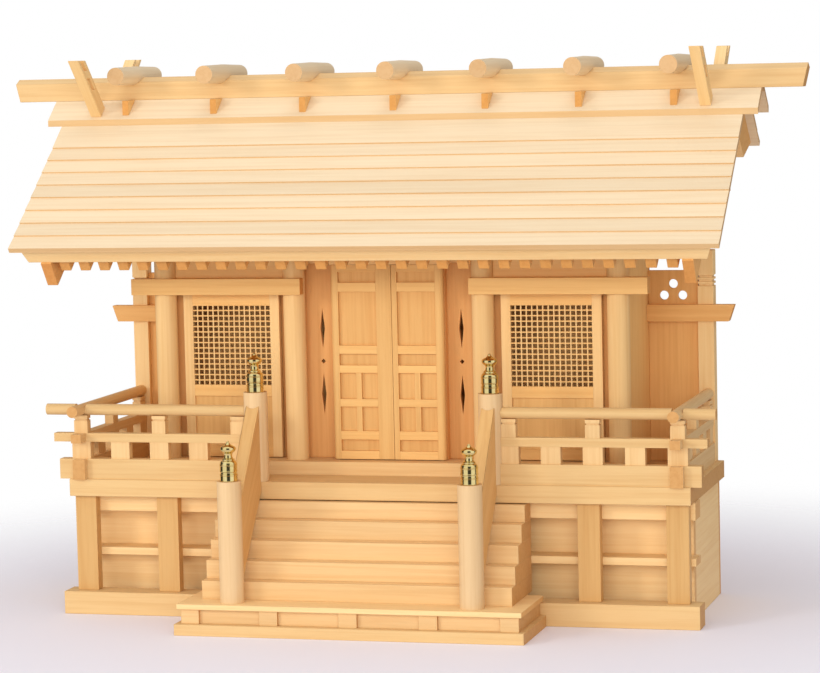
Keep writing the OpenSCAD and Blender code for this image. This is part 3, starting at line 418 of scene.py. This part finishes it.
def wood(name, grain, tone):
    """Planed cypress: soft growth rings, fine fibres, small tone shifts from board to board, and painted
    shade on the lower lips of roof boards.
    """
    made, tree, shader = new_material(name)
    turn, both_slopes = TURNS[grain]
    texture = add(tree, "ShaderNodeTexCoord")
    place = texture.outputs["Object"]
    facing = texture.outputs["Normal"]
    island = add(tree, "ShaderNodeNewGeometry").outputs["Random Per Island"]
    if grain == "roof_x":
        island = roof_row(tree, place)
    if both_slopes:
        place, facing = fold_ridge(tree, place, facing)
    coordinates = shifted(tree, turned(tree, place, turn), island)
    along = split_xyz(tree, turned(tree, facing, turn))[2]
    end = ramp(tree, math_node(tree, "ABSOLUTE", along), END_RANGE)
    layers = []
    streak = 0.0
    for noise, kept, share in GRAIN_LAYERS:
        layer = ramp(tree, stretched_noise(tree, coordinates, *noise), kept)
        streak = math_node(tree, "ADD", streak, math_node(tree, "MULTIPLY", layer, share))
        layers.append(layer)
    rings, fibres = layers[:2]
    light, dark = TONES[tone]
    colour = mix_colour(tree, streak, (*light, 1), (*dark, 1))
    colour = shaded(tree, end, colour, END_GRAIN)
    # Painted shade on the lower lips of the roof boards, where the rows step down
    if grain == "roof_x":
        colour = shaded(tree, painted_lip_shade_mask(tree, facing), colour, ROOF_LIP_PAINTED_SHADE)
    value = math_node(tree, "ADD", math_node(tree, "MULTIPLY", island, BOARD_SPREAD), 1 - BOARD_SPREAD / 2)
    toned = add(tree, "ShaderNodeHueSaturation")
    tree.links.new(value, toned.inputs["Value"])
    tree.links.new(colour, toned.inputs["Color"])
    tree.links.new(toned.outputs[0], shader.inputs["Base Color"])
    tree.links.new(ramp(tree, fibres, (0, 1), WOOD_ROUGHNESS), shader.inputs["Roughness"])
    shader.inputs["Specular IOR Level"].default_value = WOOD_SPECULAR
    height = math_node(tree, "ADD", math_node(tree, "MULTIPLY", rings, RING_HEIGHT), fibres)
    bumped(tree, shader, height, *WOOD_BUMP)
    return made


def brass():
    """Polished brass with faint lathe lines and a little tarnish."""
    made, tree, shader = new_material("polished_brass")
    coordinates = add(tree, "ShaderNodeTexCoord").outputs["Object"]
    lathe_lines = stretched_noise(tree, coordinates, *LATHE_LINES)
    tarnish = ramp(tree, stretched_noise(tree, coordinates, *TARNISH), TARNISH_RANGE)
    colour = mix_colour(tree, tarnish, BRASS_CLEAN, BRASS_TARNISHED)
    tree.links.new(colour, shader.inputs["Base Color"])
    tree.links.new(ramp(tree, tarnish, (0, 1), BRASS_ROUGHNESS), shader.inputs["Roughness"])
    shader.inputs["Metallic"].default_value = 1.0
    bumped(tree, shader, lathe_lines, *BRASS_BUMP)
    return made


def smoothing_group():
    """Geometry nodes that join the split corners of a node and shade it smooth up to an angle."""
    group = bpy.data.node_groups.new("planed_surface", "GeometryNodeTree")
    group.interface.new_socket("Geometry", in_out="INPUT", socket_type="NodeSocketGeometry")
    group.interface.new_socket("Geometry", in_out="OUTPUT", socket_type="NodeSocketGeometry")
    start = group.nodes.new("NodeGroupInput")
    merged = add(group, "GeometryNodeMergeByDistance", Distance=MERGE_DISTANCE)
    plain = add(group, "GeometryNodeRemoveAttribute", Name="custom_normal")
    faces = add(group, "GeometryNodeSetShadeSmooth", domain="FACE")
    edges = add(group, "GeometryNodeSetShadeSmooth", domain="EDGE")
    end = group.nodes.new("NodeGroupOutput")
    chain = (start, merged, plain, faces, edges, end)
    for before, after in zip(chain, chain[1:]):
        group.links.new(before.outputs["Geometry"], after.inputs["Geometry"])
    angle = add(group, "GeometryNodeInputMeshEdgeAngle").outputs["Unsigned Angle"]
    group.links.new(math_node(group, "LESS_THAN", angle, SMOOTH_ANGLE), edges.inputs["Shade Smooth"])
    return group


def ease_edges(obj, edge):
    bevel = obj.modifiers.new("eased_edges", "BEVEL")
    bevel.width = edge
    bevel.segments = EDGE_SEGMENTS
    bevel.limit_method = "ANGLE"
    bevel.angle_limit = BEVEL_ANGLE
    bevel.harden_normals = True


def dress(obj, material, smoothing, edge):
    """Gives a CAD node its material, joined corners and eased edges."""
    obj.data.materials.clear()
    obj.data.materials.append(material)
    surface = obj.modifiers.new("surface", "NODES")
    surface.node_group = smoothing
    ease_edges(obj, edge)


def prism(shape, outline, low, high, wood_index=0):
    """An upright board of any outline, in millimetres."""
    rings = [[shape.verts.new((x * MM, y * MM, z * MM)) for x, y in outline] for z in (low, high)]
    count = len(outline)
    faces = [shape.faces.new(rings[0]), shape.faces.new(rings[1])]
    for i in range(count):
        j = (i + 1) % count
        faces.append(shape.faces.new((rings[0][i], rings[0][j], rings[1][j], rings[1][i])))
    for face in faces:
        face.material_index = wood_index


def board(shape, xs, ys, zs, wood_index=0):
    """A square board between two values of each axis, in millimetres."""
    x0, x1 = sorted(xs)
    y0, y1 = ys
    prism(shape, ((x0, y0), (x1, y0), (x1, y1), (x0, y1)), *zs, wood_index)


def turned_solid(shape, profile, x, y, foot):
    """A solid turned about an upright axis from pairs of radius and height, in millimetres."""
    turns = [math.tau * i / FINIAL_SIDES for i in range(FINIAL_SIDES)]
    rings = []
    for radius, height in profile:
        ring = []
        for turn in turns if radius else turns[:1]:
            spot = Vector((x + radius * math.cos(turn), y + radius * math.sin(turn), foot + height))
            ring.append(shape.verts.new(spot * MM))
        rings.append(ring)
    for low_ring, high_ring in zip(rings, rings[1:]):
        for i in range(FINIAL_SIDES):
            lower = [low_ring[j % len(low_ring)] for j in (i, i + 1)]
            upper = [high_ring[j % len(high_ring)] for j in (i + 1, i)]
            shape.faces.new(list(dict.fromkeys(lower + upper)))


def joinery(name, shape, body, node, edge, materials):
    """Makes one finished piece, of boards or turned, that stands for a CAD node."""
    bmesh.ops.recalc_face_normals(shape, faces=shape.faces)
    mesh = bpy.data.meshes.new(name)
    shape.to_mesh(mesh)
    shape.free()
    mesh.shade_smooth()
    mesh.set_sharp_from_angle(angle=SMOOTH_ANGLE)
    piece = bpy.data.objects.new(name, mesh)
    bpy.context.scene.collection.objects.link(piece)
    for material in materials:
        mesh.materials.append(material)
    ease_edges(piece, edge)
    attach(piece, body)
    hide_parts(node)


def door_leaf(node, side, woods):
    """Framed leaf of a centre door: stiles, rails, mullions, sunk panels and pivot pins."""
    low, high = (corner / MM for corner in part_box(node))
    ys = (low.y, high.y)
    panel_ys = (low.y + LEAF_RECESS, high.y)
    foot = low.z + PIN_LEN
    head = high.z - PIN_LEN + HEAD_EDGE
    inner, outer = (side * x for x in LEAF_FIELD)
    middle = (inner + outer) / 2
    mullion = (middle - LEAF_MULLION / 2, middle + LEAF_MULLION / 2)
    meeting = high.x + MEETING_EDGE if side < 0 else low.x
    radius = (high.y - low.y) / 2
    hinge_x = side * (max(abs(low.x), abs(high.x)) - radius)
    hinge_y = low.y + radius
    half_turn = [math.pi * i / HINGE_EDGE_STEPS for i in range(HINGE_EDGE_STEPS + 1)]
    round_edge = [(hinge_x + side * radius * math.sin(a), hinge_y - radius * math.cos(a)) for a in half_turn]
    full_turn = [math.tau * i / PIN_SIDES for i in range(PIN_SIDES)]
    pin = [(hinge_x + PIN_R * math.cos(a), hinge_y + PIN_R * math.sin(a)) for a in full_turn]
    shape = bmesh.new()
    prism(shape, [(outer, low.y), *round_edge, (outer, high.y)], foot, head, UPRIGHT)
    board(shape, (meeting, inner), ys, (foot, head), UPRIGHT)
    prism(shape, pin, low.z, foot, UPRIGHT)
    prism(shape, pin, head, high.z, UPRIGHT)
    level = foot
    for rail, height, across in LEAF_ROWS:
        board(shape, (inner, outer), ys, (level, level + rail), ACROSS)
        level += rail
        board(shape, (inner, outer), panel_ys, (level, level + height), PANEL)
        if across == 2:
            board(shape, mullion, (ys[0], panel_ys[0]), (level, level + height), UPRIGHT)
        level += height
    board(shape, (inner, outer), ys, (level, head), ACROSS)
    joinery(node + "_leaf", shape, node, node, LEAF_EDGE, woods)


def lattice_leaves(woods):
    """Lift-out leaves of the side bays: frame, sunk panel, woven bars and set-back jambs."""
    low, high = (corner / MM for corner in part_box("lattice_doors"))
    ys = (low.y, high.y)
    foot = low.z
    leaf_foot = foot + FOOT_GAP
    levels = {name: foot + height for name, height in LATTICE_LEVELS.items()}
    field_in, field_out = LATTICE_FIELD
    stile_in, stile_out = LATTICE_STILES
    jamb_in, jamb_out = LATTICE_JAMBS
    bar_ys = [low.y + depth for depth in BAR_DEPTH]
    woven_ys = [y + WEAVE for y in bar_ys]
    jamb_ys = [low.y + depth for depth in JAMB_DEPTHS]
    field_zs = (levels["field"], levels["top"])
    boards = [
        ((stile_in, field_in), ys, (leaf_foot, high.z), UPRIGHT),
        ((field_out, stile_out), ys, (leaf_foot, high.z), UPRIGHT),
        (LATTICE_STILES, (low.y + FOOT_DEPTH, high.y), (foot, leaf_foot), ACROSS),
        (LATTICE_FIELD, ys, (leaf_foot, levels["low"]), ACROSS),
        (LATTICE_FIELD, (low.y + LATTICE_RECESS, high.y), (levels["low"], levels["panel"]), PANEL),
        (LATTICE_FIELD, ys, (levels["panel"], levels["field"]), ACROSS),
        (LATTICE_FIELD, ys, (levels["top"], high.z), ACROSS),
        ((jamb_in, stile_in), jamb_ys, (foot, high.z), JAMB),
        ((stile_out, jamb_out), jamb_ys, (foot, high.z), JAMB),
    ]
    pitch_x = (field_out - field_in + LATTICE_BAR) / LATTICE_N
    pitch_z = (levels["top"] - levels["field"] + LATTICE_BAR) / LATTICE_N
    for i in range(1, LATTICE_N):
        x = field_in + i * pitch_x - LATTICE_BAR
        z = levels["field"] + i * pitch_z - LATTICE_BAR
        boards.append(((x, x + LATTICE_BAR), bar_ys, field_zs, UPRIGHT))
        boards.append((LATTICE_FIELD, woven_ys, (z, z + LATTICE_BAR), ACROSS))
    shape = bmesh.new()
    for side in (-1, 1):
        for xs, depths, zs, wood_index in boards:
            board(shape, [side * x for x in xs], depths, zs, wood_index)
    joinery("lattice_leaves", shape, "shrine", "lattice_doors", LATTICE_EDGE, woods)


def turned_finials():
    """Four banded brass finials with shoulder, collar, neck, bulb and tip, one on each newel."""
    newel_low, newel_high = (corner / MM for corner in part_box("newels"))
    lower_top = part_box("finials")[0].z / MM
    newel_x = newel_high.x - NEWEL_R
    feet = ((newel_low.y + NEWEL_R, lower_top), (newel_high.y - NEWEL_R, newel_high.z))
    shape = bmesh.new()
    for x in (-newel_x, newel_x):
        for y, foot in feet:
            turned_solid(shape, FINIAL_PROFILE, x, y, foot)
    joinery("turned_finials", shape, "shrine", "finials", FINIAL_EDGE, (brass(),))


def top_step(woods):
    """Fifth step, with the thin open joint under the deck."""
    low, high = (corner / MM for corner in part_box("step_5"))
    shape = bmesh.new()
    board(shape, (low.x, high.x), (low.y, high.y), (low.z, high.z - STEP_JOINT))
    joinery("top_step", shape, "shrine", "step_5", EDGE_ROUND, woods)


def camera():
    """The photograph's camera, turned by its yaw, pitch and roll."""
    forward = Vector((-math.sin(YAW) * math.cos(PITCH), math.cos(YAW) * math.cos(PITCH), -math.sin(PITCH)))
    right = Vector((math.cos(YAW), math.sin(YAW), 0))
    up = right.cross(forward)
    x_axis = math.cos(ROLL) * right + math.sin(ROLL) * up
    y_axis = math.cos(ROLL) * up - math.sin(ROLL) * right
    data = bpy.data.cameras.new("camera")
    data.sensor_fit = "HORIZONTAL"
    data.sensor_width = SENSOR_MM
    data.lens = FOCAL_PX * SENSOR_MM / IMAGE_W
    made = bpy.data.objects.new("camera", data)
    axes = Matrix((x_axis, y_axis, -forward)).transposed().to_4x4()
    made.matrix_world = Matrix.Translation(CAMERA_AT) @ axes
    bpy.context.scene.collection.objects.link(made)
    bpy.context.scene.camera = made


def area_light(name, place, size, power, colour):
    """A soft lamp that faces the shrine; the brass mirrors the surround's panels in its stead."""
    data = bpy.data.lights.new(name, "AREA")
    data.size = size
    data.energy = power
    data.color = colour
    made = bpy.data.objects.new(name, data)
    made.location = place
    made.rotation_euler = (LAMP_TARGET - Vector(place)).to_track_quat("-Z", "Y").to_euler()
    made.visible_glossy = False
    bpy.context.scene.collection.objects.link(made)


def floor():
    """Pale paper that keeps the shadow and fades into the white surround."""
    bpy.ops.mesh.primitive_plane_add(size=FLOOR_SIZE, location=(0, 0, 0))
    paper = bpy.context.object
    paper.name = "floor"
    material, tree, shader = new_material("floor_paper")
    shader.inputs["Base Color"].default_value = FLOOR_COLOUR
    shader.inputs["Roughness"].default_value = FLOOR_ROUGHNESS
    length = add(tree, "ShaderNodeVectorMath", operation="LENGTH")
    tree.links.new(add(tree, "ShaderNodeTexCoord").outputs["Object"], length.inputs[0])
    fade = smooth(tree, length.outputs["Value"], FLOOR_FADE)
    clear = add(tree, "ShaderNodeBsdfTransparent").outputs[0]
    faded = mix_shader(tree, fade, shader.outputs[0], clear)
    tree.links.new(faded, tree.nodes["Material Output"].inputs["Surface"])
    paper.data.materials.append(material)


def surround():
    """White to the camera, an even fill for the wood, and light and dark panels mirrored in the brass."""
    world = bpy.data.worlds.new("surround")
    bpy.context.scene.world = world
    world.use_nodes = True
    tree = world.node_tree
    tree.nodes.clear()
    x, y, z = split_xyz(tree, add(tree, "ShaderNodeTexCoord").outputs["Generated"])
    turn = math_node(tree, "ARCTAN2", x, math_node(tree, "MULTIPLY", y, -1))
    off_front = math_node(tree, "ABSOLUTE", math_node(tree, "SUBTRACT", turn, YAW))
    inner = smooth(tree, off_front, PANEL_INNER)
    outer = smooth(tree, off_front, PANEL_OUTER, (1, 0))
    panels = math_node(tree, "MULTIPLY", inner, outer)
    bright = math_node(tree, "MAXIMUM", panels, smooth(tree, z, CEILING_RISE))
    mirrored = background(tree, mix_colour(tree, bright, MIRROR_DARK, WHITE))
    fill_colour = mix_colour(tree, smooth(tree, z, FILL_RISE), FILL_BELOW, FILL_ABOVE)
    fill = background(tree, fill_colour, FILL_STRENGTH)
    path = add(tree, "ShaderNodeLightPath")
    lit = mix_shader(tree, path.outputs["Is Glossy Ray"], fill, mirrored)
    seen = mix_shader(tree, path.outputs["Is Camera Ray"], lit, background(tree, WHITE))
    out = add(tree, "ShaderNodeOutputWorld")
    tree.links.new(seen, out.inputs["Surface"])


# Studio
bpy.context.scene.view_settings.view_transform = "Standard"
camera()
floor()
surround()
for lamp in LAMPS:
    area_light(*lamp)

# CAD nodes
planed = smoothing_group()
for grain, tone, members in WOODS:
    material = wood("hinoki_" + grain + "_" + tone, grain, tone)
    edge = ROOF_EDGE if grain == "roof_x" else EDGE_ROUND
    for member in members.split():
        dress(nodes[member], material, planed, edge)

# Pieces that stand for CAD nodes
leaf_woods = (
    wood("hinoki_leaf_upright", "z", "gold"),
    wood("hinoki_leaf_across", "x", "amber"),
    # Door panels: a darker, more orange tone, partly their own and partly painted shade in their recesses
    wood("hinoki_leaf_panel", "z", "panel"),
)
lattice_woods = (
    wood("hinoki_lattice_upright", "z", "mellow"),
    leaf_woods[ACROSS],
    wood("hinoki_lattice_panel", "z", "gold"),
    # Jambs: painted shade, darker than the leaves, in the recess beside them
    wood("hinoki_lattice_jamb", "z", "painted_shade"),
)
door_leaf("left_door", -1, leaf_woods)
door_leaf("right_door", 1, leaf_woods)
lattice_leaves(lattice_woods)
top_step(nodes["step_4"].data.materials)
turned_finials()
